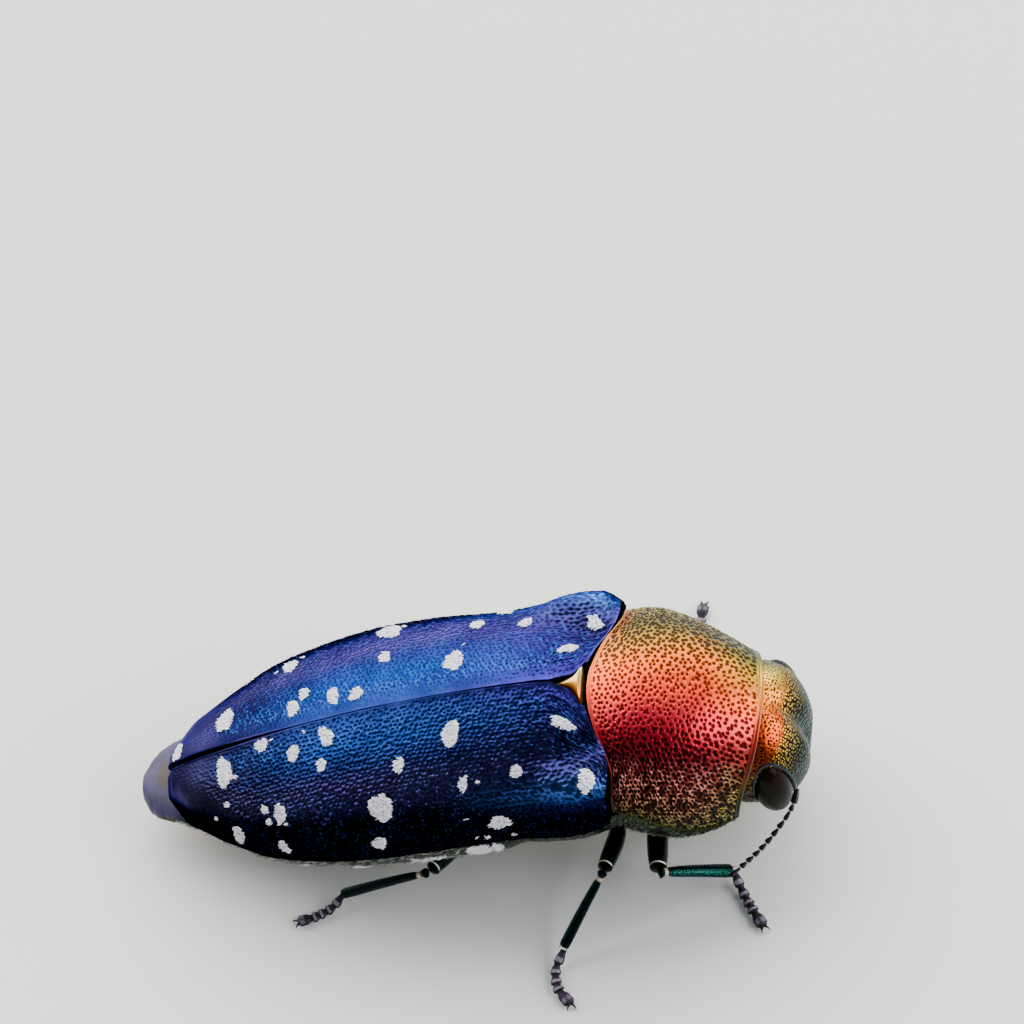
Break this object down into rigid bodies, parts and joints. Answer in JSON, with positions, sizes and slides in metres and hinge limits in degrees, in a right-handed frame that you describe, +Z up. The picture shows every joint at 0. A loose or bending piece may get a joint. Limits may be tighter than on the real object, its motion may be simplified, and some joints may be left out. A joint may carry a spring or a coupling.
{
  "type": "jewel beetle",
  "caption": "Still life-size model of a metallic wood-boring beetle standing on its six feet: copper-red prothorax and head, violet-blue wing cases with white hair spots.",
  "frame": {"origin": "on the floor, under the middle of the box round the whole beetle", "axes": "+X towards the head along the body, +Y towards the beetle's left side, +Z up from the floor the feet stand on"},
  "size_m": [0.0164, 0.0106, 0.0051],
  "materials": {
    "elytra_blue": "glossy violet-blue metallic shell with fine dark punctures",
    "pronotum_copper": "glossy metallic copper-red turning gold and green at the sides, closely punctured",
    "head_copper": "metallic orange-gold turning olive green, closely punctured",
    "scutellum_gold": "polished metallic gold-orange",
    "underside_gold_green": "metallic gold along the middle turning green and blue-black at the sides, punctured",
    "leg_green": "glossy black with a green metallic sheen",
    "tarsus_purple": "satin purplish black, paler pads beneath",
    "antenna_black": "satin black beads with pale joints",
    "mouth_black": "glossy blue-black",
    "eye_brown": "glossy dark olive-brown, finely faceted",
    "setae_white": "matte chalk-white hairs in small tufts"
  },
  "bodies": {
    "root": {"antenna_left": "antenna_black", "antenna_right": "antenna_black", "coxa_fore_left": "leg_green", "coxa_fore_right": "leg_green", "coxa_mid_left": "leg_green", "coxa_mid_right": "leg_green", "elytron_left": "elytra_blue", "elytron_right": "elytra_blue", "eye_left": "eye_brown", "eye_right": "eye_brown", "femur_fore_left": "leg_green", "femur_fore_right": "leg_green", "femur_hind_left": "leg_green", "femur_hind_right": "leg_green", "femur_mid_left": "leg_green", "femur_mid_right": "leg_green", "head": "head_copper", "hind_coxa_left": "underside_gold_green", "hind_coxa_right": "underside_gold_green", "labrum": "mouth_black", "mandible_left": "mouth_black", "mandible_right": "mouth_black", "mentum": "mouth_black", "metaventrite": "underside_gold_green", "pronotum": "pronotum_copper", "prosternum": "underside_gold_green", "scutellum": "scutellum_gold", "tarsus_fore_left": "tarsus_purple", "tarsus_fore_right": "tarsus_purple", "tarsus_hind_left": "tarsus_purple", "tarsus_hind_right": "tarsus_purple", "tarsus_mid_left": "tarsus_purple", "tarsus_mid_right": "tarsus_purple", "tibia_fore_left": "leg_green", "tibia_fore_right": "leg_green", "tibia_hind_left": "leg_green", "tibia_hind_right": "leg_green", "tibia_mid_left": "leg_green", "tibia_mid_right": "leg_green", "ventrite_1_2": "underside_gold_green", "ventrite_3": "underside_gold_green", "ventrite_4": "underside_gold_green", "ventrite_5": "underside_gold_green"}
  },
  "joints": []
}
